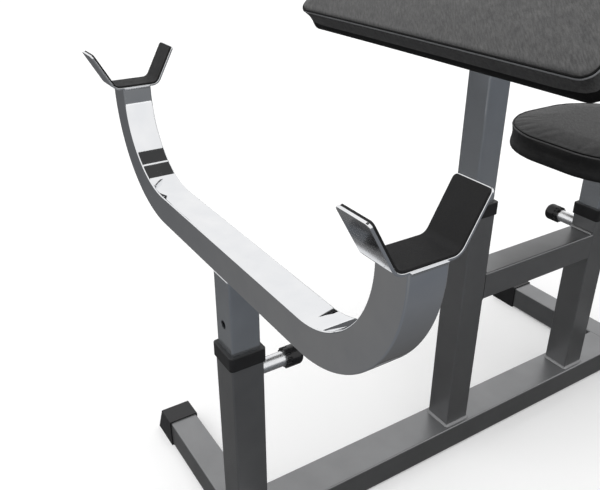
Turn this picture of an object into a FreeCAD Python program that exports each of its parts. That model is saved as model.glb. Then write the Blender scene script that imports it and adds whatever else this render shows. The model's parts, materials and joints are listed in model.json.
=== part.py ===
import FreeCAD, Part
import math
import os

# Preacher curl bench. Millimetres, +Z up, +Y towards the seat, origin on the floor under the
# middle of the overall length. A welded base carries three posts. A tube slides in each post:
# one holds the barbell rest, one the sloping arm pad, one the seat. A sprung pull pin locks each.

# Base frame
POST = 60.0
POST_WALL = 2.0
TUBE_CORNER = 3.0
SHARPEST_INSIDE_CORNER = 0.25
RAIL_WIDTH = 80.0
RAIL_WALL = 2.5
FOOT_LENGTH = 690.0
REST_TO_PAD = 514.0
PAD_TO_SEAT = 392.0
SEAT_TO_REAR_FOOT = 192.0
REST_POST_LENGTH = 385.0
PAD_POST_LENGTH = 528.0
SEAT_POST_LENGTH = 427.0
BEAM_HEIGHT = 341.0
WELD_LEG = 5.0

# Foot caps
CAP_WALL = 3.0
CAP_SLEEVE = 42.0
CAP_TOP_REACH = 7.0
CAP_TOE_REACH = 37.0
CAP_EDGE_RADIUS = 2.5

# Sliding tubes and the collars that guide them
SLIDE_WALL = 2.5
SLIDE_CORNER = 3.0
SLIDE_CLEARANCE = 0.3
BUSH_WALL = 1.2
COLLAR_WALL = 3.5
COLLAR_EDGE_RADIUS = 1.5
COLLAR_SKIRT = 23.5
COLLAR_TOP = 2.5
COLLAR_LIP = 40.0
PLUG_FLANGE = 8.0
PLUG_DEPTH = 20.0
PLUG_WALL = 3.0
HOLE_PITCH = 55.0
HOLE_CLEARANCE = 1.5
HOLE_END_MARGIN = 33.0
REST_STEPS_UP = 3
REST_STEPS_DOWN = 2
PAD_STEPS_UP = 3
PAD_STEPS_DOWN = 1
SEAT_STEPS_UP = 1
SEAT_STEPS_DOWN = 2

# Heights at which the photographed bench is set, from each collar's top
REST_LIFT = 136.0
PAD_LIFT = 418.0
SEAT_LIFT = 124.5

# Barbell rest
BAR = 53.0
BAR_WALL = 2.5
BAR_CORNER = 2.5
BAR_SPREAD = 800.0
BAR_BEND_INNER = 147.0
BAR_RISE = 211.0
BAR_WELD_LEG = 3.0
CRADLE_WELD_LAP = 1.4
CRADLE_FLAT = 86.5
CRADLE_FLARE = 34.8
CRADLE_RISE = 65.6
CRADLE_PLATE = 3.5
CRADLE_BEND_INNER = 16.0
CRADLE_CORNER = 5.5
LINER = 3.0
LINER_INSET = 1.0
GLUE_LINE = 0.1

# Arm pad and seat
PAD_ANGLE = 40.0
PAD_LENGTH = 660.0
PAD_WIDTH = 380.0
PAD_CORNER = 20.0
PAD_SHIFT = -14.0
PAD_PLATE_LENGTH = 320.0
PAD_PLATE_WIDTH = 120.0
PAD_BOLT_X = 260.0
PAD_BOLT_Y = 84.0
GUSSET_LEG = 90.0
GUSSET_THICKNESS = 5.0
GUSSET_TOE = 10.0
SEAT_WIDTH = 380.0
SEAT_DEPTH = 370.0
SEAT_CORNER = 150.0
SEAT_PLATE_LENGTH = 200.0
SEAT_PLATE_WIDTH = 160.0
SEAT_BOLT_X = 150.0
SEAT_BOLT_Y = 110.0
CUSHION_EDGE = 45.0
CUSHION_CROWN = 12.0
CUSHION_CROWN_RUN = 84.0
CUSHION_CROWN_STEPS = 4
CUSHION_CROWN_CORNER = 0.33
CUSHION_DRAW_IN = 2.0
CUSHION_SIDE_BOW = 0.002
CUSHION_ROLL = 4.0
CUSHION_ROLL_STEPS = 2
BOARD = 12.0
BOARD_INSET = 9.0
PLATE = 6.0
PLATE_CORNER = 12.0

# Fasteners
BOLT_DIAMETER = 8.0
BOLT_HEAD_FLATS = 13.0
BOLT_HEAD = 5.3
BOLT_HOLE_CLEARANCE = 1.0
BOLT_GRIP_IN_BOARD = 9.0
WASHER_DIAMETER = 17.0
WASHER = 1.6
TEE_NUT_WALL = 1.45
TEE_NUT_RIM = 5.5
TEE_NUT_FLANGE = 1.5
TEE_NUT_LENGTH = 10.5
THREAD_CLEARANCE = 0.1
TEE_NUT_DIAMETER = BOLT_DIAMETER + THREAD_CLEARANCE + 2 * TEE_NUT_WALL
TEE_NUT_FLANGE_DIAMETER = TEE_NUT_DIAMETER + 2 * TEE_NUT_RIM

# Pull pins, measured outward from the post's face, drawn out so that the tube can slide
PIN_DROP = 59.5
PIN_DIAMETER = 12.0
PIN_TRAVEL = 14.0
PIN_PARK_GAP = 0.4
PIN_CHAMFER = 1.5
PIN_CLEARANCE = 0.25
PIN_SHOULDER = 4.0
PIN_ROD_DIAMETER = 8.0
BARREL_DIAMETER = 27.0
BARREL_WALL = 3.75
BARREL_LENGTH = 56.0
BARREL_GUIDE = 16.0
BARREL_CHAMFER = 1.0
BOSS_WALL = 3.5
BOSS = 5.0
END_PLUG_THREAD = 2.5
END_PLUG = 6.0
SPRING_WIRE = 1.6
KNOB_DIAMETER = 38.0
KNOB_LENGTH = 34.0
KNOB_OVERLAP = 1.5
KNOB_END_GAP = 2.5
KNOB_SOCKET_CLEARANCE = 0.4
KNOB_ROD_GRIP = 11.0
KNOB_DOME = 9.0
KNOB_NOTCHES = 14
KNOB_NOTCH_DIAMETER = 4.0
KNOB_NOTCH_LENGTH = 9.0

# Places worked out from the sizes above
FOOT_BOTTOM = CAP_WALL
FRAME_TOP = FOOT_BOTTOM + POST
CRADLE_REACH = CRADLE_FLAT / 2 + CRADLE_FLARE
REAR_REACH = POST / 2 + CAP_WALL
OVERALL_LENGTH = CRADLE_REACH + REST_TO_PAD + PAD_TO_SEAT + SEAT_TO_REAR_FOOT + REAR_REACH
REST_Y = CRADLE_REACH - OVERALL_LENGTH / 2
PAD_Y = REST_Y + REST_TO_PAD
SEAT_Y = PAD_Y + PAD_TO_SEAT
REAR_FOOT_Y = SEAT_Y + SEAT_TO_REAR_FOOT
POST_BORE = POST - 2 * POST_WALL
SLIDE = POST_BORE - 2 * BUSH_WALL - 2 * SLIDE_CLEARANCE
BEAM_Z = FRAME_TOP + BEAM_HEIGHT
BARREL_CHAMBER = BARREL_DIAMETER - 2 * BARREL_WALL
END_PLUG_DIAMETER = BARREL_CHAMBER + END_PLUG_THREAD
SPRING_MEAN_DIAMETER = (PIN_ROD_DIAMETER + BARREL_CHAMBER) / 2
KNOB_SOCKET = PIN_TRAVEL + KNOB_OVERLAP + KNOB_END_GAP
TOLERANCE = 1e-4

X_AXIS = FreeCAD.Vector(1, 0, 0)
Y_AXIS = FreeCAD.Vector(0, 1, 0)
Z_AXIS = FreeCAD.Vector(0, 0, 1)


def vec(x, y, z):
    return FreeCAD.Vector(x, y, z)


def placed(shape, position, direction=Z_AXIS):
    """A copy of a shape whose local Z is turned to a direction and whose origin is moved."""
    move = FreeCAD.Placement(position, FreeCAD.Rotation(Z_AXIS, direction))
    copy = shape.copy()
    copy.Placement = move.multiply(copy.Placement)
    return copy


def rounded_rectangle(width, depth, radius, z=0.0, bow=0.0):
    """Closed wire round the origin. bow is how far each side is drawn in, as a share of its run."""
    half_x = width / 2
    half_y = depth / 2
    edges = []
    corners = [(1, 1), (-1, 1), (-1, -1), (1, -1)]
    ends = []
    for sx, sy in corners:
        centre = vec(sx * (half_x - radius), sy * (half_y - radius), z)
        middle = math.atan2(sy, sx)
        points = [
            centre + vec(math.cos(middle + turn), math.sin(middle + turn), 0) * radius
            for turn in (-math.pi / 4, 0, math.pi / 4)
        ]
        ends.append(points)
    for index, points in enumerate(ends):
        edges.append(Part.Arc(*points).toShape())
        start = points[2]
        stop = ends[(index + 1) % 4][0]
        if bow > 0:
            inward = (vec(0, 0, z) - (start + stop) / 2).normalize()
            middle = (start + stop) / 2 + inward * (bow * start.distanceToPoint(stop))
            edges.append(Part.Arc(start, middle, stop).toShape())
        else:
            edges.append(Part.makeLine(start, stop))
    return Part.Wire(edges)


def prism(width, depth, radius, length, z=0.0):
    """Solid rounded rectangular prism that stands on z."""
    face = Part.Face(rounded_rectangle(width, depth, radius, z))
    return face.extrude(vec(0, 0, length))


def inside_corner(corner, wall):
    """Corner radius that a wall leaves inside an outer corner."""
    return max(corner - wall, corner * SHARPEST_INSIDE_CORNER)


def square_tube(width, depth, wall, corner, length):
    """Open tube along Z, from z = 0."""
    outer = prism(width, depth, corner, length)
    bore = prism(width - 2 * wall, depth - 2 * wall, inside_corner(corner, wall), length)
    return outer.cut(bore)


def cylinder(diameter, start, stop):
    """Cylinder on the Z axis between two heights."""
    return Part.makeCylinder(diameter / 2, stop - start, vec(0, 0, start))


def revolved(profile):
    """Solid of revolution about Z from (radius, height) corners."""
    points = [vec(radius, 0, height) for radius, height in profile]
    face = Part.Face(Part.makePolygon(points + points[:1]))
    return face.revolve(vec(0, 0, 0), Z_AXIS, 360)


def bent_strip(corners, bend_radius, thickness):
    """Face of a strip bent through corners in the XZ plane. bend_radius is on the centre line."""
    half = thickness / 2
    points = [vec(x, 0, z) for x, z in corners]
    runs = [(b - a).normalize() for a, b in zip(points, points[1:])]
    sides = {1: [], -1: []}
    for side in sides:
        normals = [vec(-run.z, 0, run.x) * (side * half) for run in runs]
        here = points[0] + normals[0]
        for index in range(1, len(points) - 1):
            before = runs[index - 1]
            after = runs[index]
            turn = before.getAngle(after)
            reach = bend_radius * math.tan(turn / 2)
            bend_side = 1 if before.cross(after).y < 0 else -1
            radius = bend_radius - side * bend_side * half
            start = points[index] - before * reach + normals[index - 1]
            stop = points[index] + after * reach + normals[index]
            inward = (after - before).normalize()
            centre = points[index] + inward * (bend_radius / math.cos(turn / 2))
            middle = centre - inward * radius
            sides[side].append(Part.makeLine(here, start))
            sides[side].append(Part.Arc(start, middle, stop).toShape())
            here = stop
        last = points[-1] + normals[-1]
        sides[side].append(Part.makeLine(here, last))
    first_ends = [points[0] + vec(-runs[0].z, 0, runs[0].x) * (side * half) for side in (1, -1)]
    last_ends = [points[-1] + vec(-runs[-1].z, 0, runs[-1].x) * (side * half) for side in (1, -1)]
    edges = sides[1] + sides[-1] + [Part.makeLine(*first_ends), Part.makeLine(*last_ends)]
    return Part.Face(Part.Wire(Part.__sortEdges__(edges)))


def edges_where(shape, test):
    return [edge for edge in shape.Edges if test(edge)]


# Base frame


def make_foot_tube(y):
    tube = square_tube(POST, POST, POST_WALL, TUBE_CORNER, FOOT_LENGTH)
    return placed(tube, vec(-FOOT_LENGTH / 2, y, FOOT_BOTTOM + POST / 2), X_AXIS)


def make_foot_cap(y, side):
    """Moulded sleeve over a foot's end, with an end face that slopes out to the floor."""
    tube_end = FOOT_LENGTH / 2
    height = POST + 2 * CAP_WALL
    half_width = height / 2
    outline = [
        (tube_end - CAP_SLEEVE, 0),
        (tube_end + CAP_TOE_REACH, 0),
        (tube_end + CAP_TOP_REACH, height),
        (tube_end - CAP_SLEEVE, height),
    ]
    corners = [vec(x, -half_width, z) for x, z in outline]
    body = Part.Face(Part.makePolygon(corners + corners[:1])).extrude(vec(0, height, 0))
    sleeve_x = tube_end - CAP_SLEEVE

    def is_outer_edge(edge):
        box = edge.BoundBox
        return box.XMax > sleeve_x + TOLERANCE and box.ZMax > TOLERANCE

    body = body.makeFillet(CAP_EDGE_RADIUS, edges_where(body, is_outer_edge))
    socket = placed(
        prism(POST, POST, TUBE_CORNER, CAP_SLEEVE),
        vec(sleeve_x, 0, FOOT_BOTTOM + POST / 2),
        X_AXIS,
    )
    cap = body.cut(socket)
    if side < 0:
        cap = cap.mirror(vec(0, 0, 0), X_AXIS)
    cap.translate(vec(0, y, 0))
    return cap


def make_base_rail():
    start = REST_Y + POST / 2
    length = REAR_FOOT_Y - POST / 2 - start
    tube = square_tube(RAIL_WIDTH, POST, RAIL_WALL, TUBE_CORNER, length)
    rail = placed(tube, vec(0, 0, 0), Y_AXIS)
    rail.translate(vec(0, start, FOOT_BOTTOM + POST / 2))
    return rail


def make_post(length, y, pin_direction):
    """Upright tube on the frame, drilled for its pull pin."""
    post = square_tube(POST, POST, POST_WALL, TUBE_CORNER, length)
    drill = cylinder(PIN_DIAMETER + 2 * PIN_CLEARANCE, POST_BORE / 2 - POST_WALL, POST / 2 + POST_WALL)
    post = post.cut(placed(drill, vec(0, 0, length - PIN_DROP), pin_direction))
    post.translate(vec(0, y, FRAME_TOP))
    return post


def make_seat_beam():
    start = PAD_Y + POST / 2
    tube = square_tube(POST, POST, POST_WALL, TUBE_CORNER, SEAT_Y - POST / 2 - start)
    return placed(tube, vec(0, start, BEAM_Z), Y_AXIS)


def make_collar(post_length, y):
    """Moulded collar: a skirt outside the post, a top lip, and a bush between post and tube."""
    outer = POST + 2 * COLLAR_WALL
    bore = SLIDE + 2 * SLIDE_CLEARANCE
    skirt = prism(outer, outer, TUBE_CORNER + COLLAR_WALL, COLLAR_SKIRT + COLLAR_TOP, -COLLAR_SKIRT)

    def is_top_edge(edge):
        return edge.BoundBox.ZMin > COLLAR_TOP - TOLERANCE

    skirt = skirt.makeFillet(COLLAR_EDGE_RADIUS, edges_where(skirt, is_top_edge))
    skirt = skirt.cut(prism(POST, POST, TUBE_CORNER, COLLAR_SKIRT, -COLLAR_SKIRT))
    bush_corner = inside_corner(TUBE_CORNER, POST_WALL)
    bush = prism(POST_BORE, POST_BORE, bush_corner, COLLAR_LIP, -COLLAR_LIP)
    through = prism(bore, bore, SLIDE_CORNER, COLLAR_LIP + COLLAR_TOP, -COLLAR_LIP)
    collar = skirt.fuse(bush).cut(through).removeSplitter()
    collar.translate(vec(0, y, FRAME_TOP + post_length))
    return collar


def weld_ring(y):
    """Fillet weld round a post's foot on the rail."""
    wide = POST + 2 * WELD_LEG
    base = rounded_rectangle(wide, wide, TUBE_CORNER + WELD_LEG)
    top = rounded_rectangle(POST, POST, TUBE_CORNER, WELD_LEG)
    bead = Part.makeLoft([base, top], True, True).cut(prism(POST, POST, TUBE_CORNER, WELD_LEG))
    bead.translate(vec(0, y, FRAME_TOP))
    return bead


def weld_line(corner, leg_a, leg_b, run):
    """Straight fillet weld: a triangle on two legs from a corner, drawn along a run."""
    points = [corner, corner + leg_a, corner + leg_b, corner]
    return Part.Face(Part.makePolygon(points)).extrude(run)


def make_frame_welds():
    beads = [weld_ring(PAD_Y), weld_ring(SEAT_Y)]
    straight = POST - 2 * TUBE_CORNER
    for side in (-1, 1):
        corner = vec(side * POST / 2, REST_Y - straight / 2, FRAME_TOP)
        legs = (vec(side * WELD_LEG, 0, 0), vec(0, 0, WELD_LEG))
        beads.append(weld_line(corner, *legs, vec(0, straight, 0)))
        for y, along in ((REST_Y + POST / 2, 1), (REAR_FOOT_Y - POST / 2, -1)):
            corner = vec(side * RAIL_WIDTH / 2, y, FOOT_BOTTOM + TUBE_CORNER)
            legs = (vec(side * WELD_LEG, 0, 0), vec(0, along * WELD_LEG, 0))
            beads.append(weld_line(corner, *legs, vec(0, 0, straight)))
        for y, along in ((PAD_Y + POST / 2, 1), (SEAT_Y - POST / 2, -1)):
            corner = vec(-straight / 2, y, BEAM_Z + side * POST / 2)
            legs = (vec(0, along * WELD_LEG, 0), vec(0, 0, side * WELD_LEG))
            beads.append(weld_line(corner, *legs, vec(straight, 0, 0)))
    return Part.makeCompound(beads)


# Sliding tubes


def pin_height(post_length):
    return FRAME_TOP + post_length - PIN_DROP


def collar_top(post_length):
    return FRAME_TOP + post_length + COLLAR_TOP


def slide_bottom(post_length, steps_up):
    return pin_height(post_length) - steps_up * HOLE_PITCH - HOLE_END_MARGIN


def make_slide_tube(post_length, y, steps, top, pin_direction, drill_start=0.0):
    """Tube that slides in a post, drilled at each step up and down from drill_start outward."""
    steps_up, steps_down = steps
    bottom = slide_bottom(post_length, steps_up)
    tube = square_tube(SLIDE, SLIDE, SLIDE_WALL, SLIDE_CORNER, top - bottom)
    drill = cylinder(PIN_DIAMETER + 2 * HOLE_CLEARANCE, drill_start, SLIDE)
    for step in range(-steps_up, steps_down + 1):
        height = pin_height(post_length) + step * HOLE_PITCH - bottom
        tube = tube.cut(placed(drill, vec(0, 0, height), pin_direction))
    tube.translate(vec(0, y, bottom))
    return tube


def make_slide_plug(post_length, y, steps_up):
    """Moulded plug in a sliding tube's lower end. Its flange guides the tube in the post."""
    flange = POST_BORE - 2 * SLIDE_CLEARANCE
    inside = SLIDE - 2 * SLIDE_WALL
    plug = prism(flange, flange, SLIDE_CORNER, PLUG_FLANGE, -PLUG_FLANGE)
    plug = plug.fuse(prism(inside, inside, inside_corner(SLIDE_CORNER, SLIDE_WALL), PLUG_DEPTH))
    hollow = inside - 2 * PLUG_WALL
    plug = plug.cut(prism(hollow, hollow, SLIDE_CORNER, PLUG_DEPTH + PLUG_FLANGE, PLUG_WALL - PLUG_FLANGE))
    plug.translate(vec(0, y, slide_bottom(post_length, steps_up)))
    return plug.removeSplitter()


# Barbell rest


def rest_bar_bottom():
    return collar_top(REST_POST_LENGTH) + REST_LIFT


def make_rest_bar():
    """Square tube bent into a wide U that stands on the sliding tube."""
    radius = BAR_BEND_INNER + BAR / 2
    half = BAR_SPREAD / 2
    path = [(-half, BAR_RISE), (-half, BAR / 2), (half, BAR / 2), (half, BAR_RISE)]
    outer = bent_strip(path, radius, BAR).extrude(vec(0, BAR, 0))
    outer.translate(vec(0, -BAR / 2, 0))

    def is_long_edge(edge):
        return edge.BoundBox.YLength < TOLERANCE and edge.BoundBox.ZMin < BAR_RISE - TOLERANCE

    outer = outer.makeFillet(BAR_CORNER, edges_where(outer, is_long_edge))
    bore = BAR - 2 * BAR_WALL
    inner = bent_strip(path, radius, bore).extrude(vec(0, bore, 0))
    inner.translate(vec(0, -bore / 2, 0))
    bar = outer.cut(inner)
    bar.translate(vec(0, REST_Y, rest_bar_bottom()))
    return bar


def cradle_corners(depth, shorten):
    """Centre line of the cradle's strip, depth above the plate's underside, from front to rear."""
    slope = math.atan2(CRADLE_RISE, CRADLE_FLARE)
    flat = CRADLE_FLAT / 2 - depth * math.tan(slope / 2)
    length = math.hypot(CRADLE_RISE, CRADLE_FLARE) - depth * math.tan(slope / 2) - shorten
    tip = (flat + length * math.cos(slope), depth + length * math.sin(slope))
    return [(-tip[0], tip[1]), (-flat, depth), (flat, depth), tip]


def cradle_strip(depth, thickness, width, shorten):
    """Bent strip across the rest's arm, with rounded upper corners."""
    radius = CRADLE_BEND_INNER + CRADLE_PLATE - depth
    corners = cradle_corners(depth, shorten)
    strip = bent_strip(corners, radius, thickness).extrude(vec(0, width, 0))
    strip.translate(vec(0, -width / 2, 0))

    def is_tip_edge(edge):
        return abs(edge.Length - thickness) < TOLERANCE

    strip = strip.makeFillet(CRADLE_CORNER, edges_where(strip, is_tip_edge))
    strip.rotate(vec(0, 0, 0), Z_AXIS, 90)
    return strip


def at_arm(shape, side):
    shape.translate(vec(side * BAR_SPREAD / 2, REST_Y, rest_bar_bottom() + BAR_RISE))
    return shape


def make_cradle(side):
    return at_arm(cradle_strip(CRADLE_PLATE / 2, CRADLE_PLATE, BAR, 0.0), side)


def make_liner(side):
    depth = CRADLE_PLATE + GLUE_LINE + LINER / 2
    return at_arm(cradle_strip(depth, LINER, BAR - 2 * LINER_INSET, LINER_INSET), side)


def make_rest_welds():
    """Fillet welds where the U stands on its tube and along both sides of each cradle."""
    beads = []
    bottom = rest_bar_bottom()
    foot_run = SLIDE - 2 * SLIDE_CORNER
    arm_run = BAR - 2 * BAR_CORNER
    drop = vec(0, 0, -BAR_WELD_LEG)
    lap = vec(0, 0, CRADLE_WELD_LAP)
    for side in (-1, 1):
        outward = vec(side * BAR_WELD_LEG, 0, 0)
        corner = vec(side * SLIDE / 2, REST_Y - foot_run / 2, bottom)
        beads.append(weld_line(corner, outward, drop, vec(0, foot_run, 0)))
        for arm in (-1, 1):
            face = arm * BAR_SPREAD / 2 + side * BAR / 2
            corner = vec(face, REST_Y - arm_run / 2, bottom + BAR_RISE) + lap
            beads.append(weld_line(corner, outward, drop - lap, vec(0, arm_run, 0)))
    return Part.makeCompound(beads)


# Upholstered tops. Each is drawn flat on z = 0, the underside of its board.


def cushion_form(width, depth, corner):
    """Foam block with rolled lower edge, drawn-in sides, a seam at the edge and a crowned top."""
    layers = []
    for step in range(CUSHION_ROLL_STEPS + 1):
        angle = math.pi / 2 * (1 - step / CUSHION_ROLL_STEPS)
        layers.append((CUSHION_ROLL * (1 - math.cos(angle)), CUSHION_ROLL * (1 - math.sin(angle))))
    layers.append((CUSHION_DRAW_IN, (CUSHION_ROLL + CUSHION_EDGE) / 2))
    for step in range(CUSHION_CROWN_STEPS + 1):
        angle = math.pi / 2 * step / CUSHION_CROWN_STEPS
        rise = CUSHION_CROWN * math.sin(angle)
        layers.append((CUSHION_CROWN_RUN * (1 - math.cos(angle)), CUSHION_EDGE + rise))
    sections = []
    for inset, z in layers:
        radius = max(corner - inset, corner * CUSHION_CROWN_CORNER)
        size = (width - 2 * inset, depth - 2 * inset)
        sections.append(rounded_rectangle(*size, radius, z, CUSHION_SIDE_BOW))
    return Part.makeLoft(sections, True, True)


def bolt_places(spacing_x, spacing_y):
    return [vec(sx * spacing_x / 2, sy * spacing_y / 2, 0) for sx in (-1, 1) for sy in (-1, 1)]


def copies_at(shape, places):
    return [placed(shape, place) for place in places]


def board_form(width, depth, corner):
    inner = inside_corner(corner, BOARD_INSET)
    return prism(width - 2 * BOARD_INSET, depth - 2 * BOARD_INSET, inner, BOARD)


def make_board(width, depth, corner, shift, places):
    """Plywood board inside the cushion's underside, drilled and counterbored for its tee nuts."""
    board = board_form(width, depth, corner)
    board.translate(vec(0, shift, 0))
    hole = cylinder(TEE_NUT_DIAMETER, 0, BOARD)
    seat = cylinder(TEE_NUT_FLANGE_DIAMETER, BOARD - TEE_NUT_FLANGE, BOARD)
    return board.cut(Part.makeCompound(copies_at(hole.fuse(seat), places)))


def make_cushion(width, depth, corner, shift):
    cushion = cushion_form(width, depth, corner).cut(board_form(width, depth, corner))
    cushion.translate(vec(0, shift, 0))
    return cushion


def make_plate(length, width, places):
    plate = prism(length, width, PLATE_CORNER, PLATE, -PLATE)
    hole = cylinder(BOLT_DIAMETER + BOLT_HOLE_CLEARANCE, -PLATE, 0)
    return plate.cut(Part.makeCompound(copies_at(hole, places)))


def make_bolt():
    radius = BOLT_HEAD_FLATS / math.sqrt(3)
    under_head = -PLATE - WASHER
    corners = [
        vec(radius * math.cos(k * math.pi / 3), radius * math.sin(k * math.pi / 3), under_head - BOLT_HEAD)
        for k in range(7)
    ]
    head = Part.Face(Part.makePolygon(corners)).extrude(vec(0, 0, BOLT_HEAD))
    return head.fuse(cylinder(BOLT_DIAMETER, under_head, BOLT_GRIP_IN_BOARD)).removeSplitter()


def make_washer():
    ring = cylinder(WASHER_DIAMETER, -PLATE - WASHER, -PLATE)
    return ring.cut(cylinder(BOLT_DIAMETER + BOLT_HOLE_CLEARANCE, -PLATE - WASHER, -PLATE))


def make_tee_nut():
    start = BOARD - TEE_NUT_LENGTH
    nut = cylinder(TEE_NUT_DIAMETER, start, BOARD)
    nut = nut.fuse(cylinder(TEE_NUT_FLANGE_DIAMETER, BOARD - TEE_NUT_FLANGE, BOARD))
    return nut.cut(cylinder(BOLT_DIAMETER + THREAD_CLEARANCE, start, BOARD)).removeSplitter()


def make_top(width, depth, corner, shift, plate_size, bolt_spacing, placement):
    """Every piece of an upholstered top, put in place on its sliding tube."""
    places = bolt_places(*bolt_spacing)
    pieces = {
        "board": make_board(width, depth, corner, shift, places),
        "cushion": make_cushion(width, depth, corner, shift),
        "plate": make_plate(*plate_size, places),
        "bolts": Part.makeCompound(copies_at(make_bolt(), places)),
        "washers": Part.makeCompound(copies_at(make_washer(), places)),
        "tee_nuts": Part.makeCompound(copies_at(make_tee_nut(), places)),
    }
    for shape in pieces.values():
        shape.Placement = placement.multiply(shape.Placement)
    return pieces


def pad_placement():
    origin = vec(0, PAD_Y, collar_top(PAD_POST_LENGTH) + PAD_LIFT)
    return FreeCAD.Placement(origin, FreeCAD.Rotation(X_AXIS, PAD_ANGLE))


def seat_placement():
    return FreeCAD.Placement(vec(0, SEAT_Y, collar_top(SEAT_POST_LENGTH) + SEAT_LIFT), FreeCAD.Rotation())


def above_plate(placement):
    """Large block that fills the space over a mounting plate's underside."""
    size = 2 * PAD_LENGTH
    block = Part.makeBox(size, size, size, vec(-size / 2, -size / 2, -PLATE))
    block.Placement = placement
    return block


def make_pad_slide_tube():
    """The arm pad's tube is cut off at the pad's slope to meet its plate."""
    top = collar_top(PAD_POST_LENGTH) + PAD_LIFT + SLIDE
    steps = (PAD_STEPS_UP, PAD_STEPS_DOWN)
    tube = make_slide_tube(PAD_POST_LENGTH, PAD_Y, steps, top, -Y_AXIS)
    return tube.cut(above_plate(pad_placement()))


def make_pad_gussets():
    """Two triangular plates that brace the arm pad's plate against its tube."""
    under_plate = collar_top(PAD_POST_LENGTH) + PAD_LIFT - PLATE / math.cos(math.radians(PAD_ANGLE))
    top = under_plate + GUSSET_THICKNESS
    gussets = []
    for side in (-1, 1):
        inner = side * SLIDE / 2
        outer = inner + side * GUSSET_LEG
        y = PAD_Y - GUSSET_THICKNESS / 2
        corners = [
            vec(inner, y, top),
            vec(outer, y, top),
            vec(outer, y, under_plate - GUSSET_TOE),
            vec(inner, y, under_plate - GUSSET_LEG),
        ]
        plate = Part.Face(Part.makePolygon(corners + corners[:1])).extrude(vec(0, GUSSET_THICKNESS, 0))
        gussets.append(plate.cut(above_plate(pad_placement())))
    return Part.makeCompound(gussets)


# Pull pins, drawn along +Z from the post's face


def pin_tip():
    return SLIDE / 2 + PIN_PARK_GAP - POST / 2


def shoulder_top():
    return BARREL_GUIDE + PIN_TRAVEL + 2 * PIN_CLEARANCE + PIN_SHOULDER


def make_boss():
    ring = cylinder(BARREL_DIAMETER + 2 * BOSS_WALL, 0, BOSS)
    return ring.cut(cylinder(BARREL_DIAMETER, 0, BOSS))


def make_barrel():
    outer = BARREL_DIAMETER / 2
    guide = PIN_DIAMETER / 2 + PIN_CLEARANCE
    chamber = BARREL_CHAMBER / 2
    thread = END_PLUG_DIAMETER / 2
    plug_seat = BARREL_LENGTH - END_PLUG
    return revolved([
        (guide, 0),
        (outer, 0),
        (outer, BARREL_LENGTH - BARREL_CHAMFER),
        (outer - BARREL_CHAMFER, BARREL_LENGTH),
        (thread, BARREL_LENGTH),
        (thread, plug_seat),
        (chamber, plug_seat),
        (chamber, BARREL_GUIDE),
        (guide, BARREL_GUIDE),
    ])


def make_end_plug():
    start = BARREL_LENGTH - END_PLUG
    bore = PIN_ROD_DIAMETER + 2 * PIN_CLEARANCE
    return cylinder(END_PLUG_DIAMETER, start, BARREL_LENGTH).cut(cylinder(bore, start, BARREL_LENGTH))


def knob_start():
    return BARREL_LENGTH - KNOB_OVERLAP


def make_plunger():
    pin = PIN_DIAMETER / 2
    rod = PIN_ROD_DIAMETER / 2
    shoulder = BARREL_CHAMBER / 2 - PIN_CLEARANCE
    rod_end = knob_start() + KNOB_SOCKET + KNOB_ROD_GRIP
    return revolved([
        (0, pin_tip()),
        (pin - PIN_CHAMFER, pin_tip()),
        (pin, pin_tip() + PIN_CHAMFER),
        (pin, shoulder_top() - PIN_SHOULDER),
        (shoulder, shoulder_top() - PIN_SHOULDER),
        (shoulder, shoulder_top()),
        (rod, shoulder_top()),
        (rod, rod_end),
        (0, rod_end),
    ])


def make_spring():
    """The space that the compressed coil fills between plunger shoulder and end plug."""
    start = shoulder_top()
    stop = BARREL_LENGTH - END_PLUG
    outer = cylinder(SPRING_MEAN_DIAMETER + SPRING_WIRE, start, stop)
    return outer.cut(cylinder(SPRING_MEAN_DIAMETER - SPRING_WIRE, start, stop))


def make_knob():
    """Round knob with a notched rim towards the post, a socket over the barrel and a domed end."""
    start = knob_start()
    stop = start + KNOB_LENGTH
    outer = KNOB_DIAMETER / 2
    socket = BARREL_DIAMETER / 2 + KNOB_SOCKET_CLEARANCE
    rod = PIN_ROD_DIAMETER / 2
    rod_end = start + KNOB_SOCKET + KNOB_ROD_GRIP
    lines = [(0, stop), (0, rod_end), (rod, rod_end), (rod, start + KNOB_SOCKET)]
    lines += [(socket, start + KNOB_SOCKET), (socket, start), (outer, start), (outer, stop - KNOB_DOME)]
    points = [vec(radius, 0, height) for radius, height in lines]
    dome_angle = math.pi / 4
    dome_middle = vec(
        outer - KNOB_DOME * (1 - math.cos(dome_angle)),
        0,
        stop - KNOB_DOME * (1 - math.sin(dome_angle)),
    )
    dome_top = vec(outer - KNOB_DOME, 0, stop)
    edges = Part.makePolygon(points).Edges
    edges.append(Part.Arc(points[-1], dome_middle, dome_top).toShape())
    edges.append(Part.makeLine(dome_top, points[0]))
    knob = Part.Face(Part.Wire(edges)).revolve(vec(0, 0, 0), Z_AXIS, 360)
    notch = cylinder(KNOB_NOTCH_DIAMETER, start, start + KNOB_NOTCH_LENGTH)
    notches = []
    for index in range(KNOB_NOTCHES):
        angle = 2 * math.pi * index / KNOB_NOTCHES
        notches.append(placed(notch, vec(outer * math.cos(angle), outer * math.sin(angle), 0)))
    return knob.cut(Part.makeCompound(notches))


def make_pin_set(y, post_length, direction):
    """Every piece of one pull pin, put in place on its post."""
    face = vec(0, y, pin_height(post_length)) + direction * (POST / 2)
    pieces = {
        "pin_boss": make_boss(),
        "pin_barrel": make_barrel(),
        "pin_end_plug": make_end_plug(),
        "pin_plunger": make_plunger(),
        "pin_spring": make_spring(),
        "pin_knob": make_knob(),
    }
    return {name: placed(shape, face, direction) for name, shape in pieces.items()}


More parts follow.
